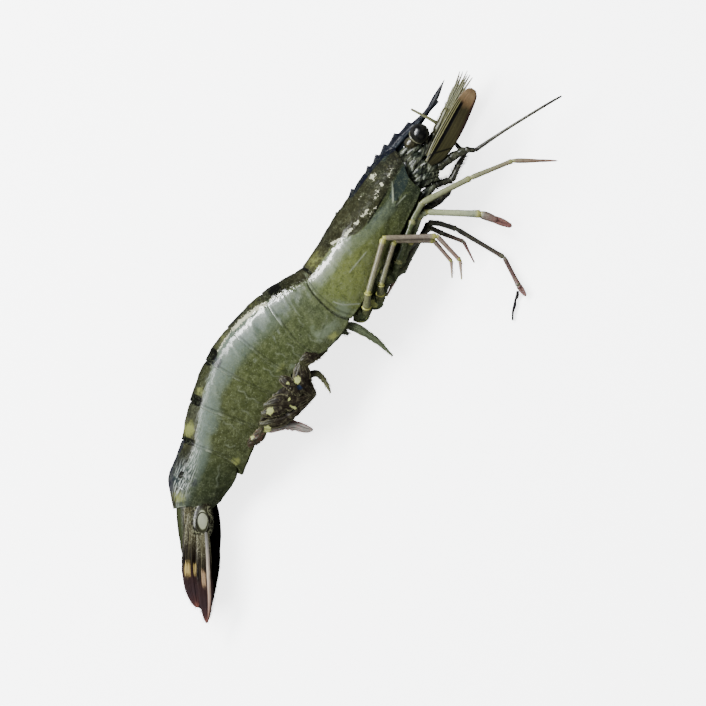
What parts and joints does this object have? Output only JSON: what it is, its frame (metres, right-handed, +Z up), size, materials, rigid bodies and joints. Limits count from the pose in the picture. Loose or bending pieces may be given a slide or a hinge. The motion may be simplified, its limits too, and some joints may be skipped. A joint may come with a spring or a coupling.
{
  "type": "raw tiger prawn",
  "caption": "Whole raw prawn with head, shell, legs, swimming legs and folded tail fan, lying on its left side with its body gently bent",
  "frame": {"origin": "on the flat spot under the rear half of the carapace, where the prawn rests on its left side", "axes": "+X towards the head and rostrum, +Y towards the prawn's back, -Y towards its legs, +Z up, from its left side to its right"},
  "size_m": [0.2089, 0.0897, 0.0234],
  "materials": {
    "shell": "wet olive-green shell with dark bands on the back",
    "dark_shell": "wet dark brown to black shell",
    "eye": "glossy black",
    "feeler": "olive-brown, ringed",
    "leg": "pale green-grey with yellow joints and red-brown tips",
    "fan": "dark brown with orange patches and a pale ridge",
    "swimming_leg": "dark olive-brown with yellow spots and a pink edge"
  },
  "bodies": {
    "root": {"carapace": "shell", "pleonite_1": "shell", "pleonite_2": "shell", "pleonite_3": "shell", "pleonite_4": "shell", "pleonite_5": "shell", "pleonite_6": "shell", "breastplate": "dark_shell", "head": "dark_shell", "eye_right": "eye", "eye_left": "eye", "antenna_right": "feeler", "antenna_left": "feeler", "antennule_right": "feeler", "antennule_left": "feeler", "pereopod_5_right": "leg", "pereopod_4_right": "leg", "pereopod_3_right": "leg", "pereopod_2_right": "leg", "pereopod_1_right": "leg", "pereopod_1_left": "leg", "pereopod_2_left": "leg", "pereopod_3_left": "leg", "pereopod_4_left": "leg", "pereopod_5_left": "leg", "maxilliped_3_right": "dark_shell", "maxilliped_3_left": "dark_shell", "antennal_scale_right": "fan", "antennal_scale_left": "fan", "telson": "fan", "uropod_base_right": "fan", "uropod_base_left": "fan", "uropod_endopod_right": "fan", "uropod_exopod_right": "fan", "uropod_endopod_left": "fan", "uropod_exopod_left": "fan", "pleopod_1_right": "swimming_leg", "pleopod_1_left": "swimming_leg", "pleopod_2_right": "swimming_leg", "pleopod_2_left": "swimming_leg", "pleopod_3_right": "swimming_leg", "pleopod_3_left": "swimming_leg", "pleopod_4_right": "swimming_leg", "pleopod_4_left": "swimming_leg", "pleopod_5_right": "swimming_leg", "pleopod_5_left": "swimming_leg", "strand": "dark_shell"}
  },
  "joints": []
}
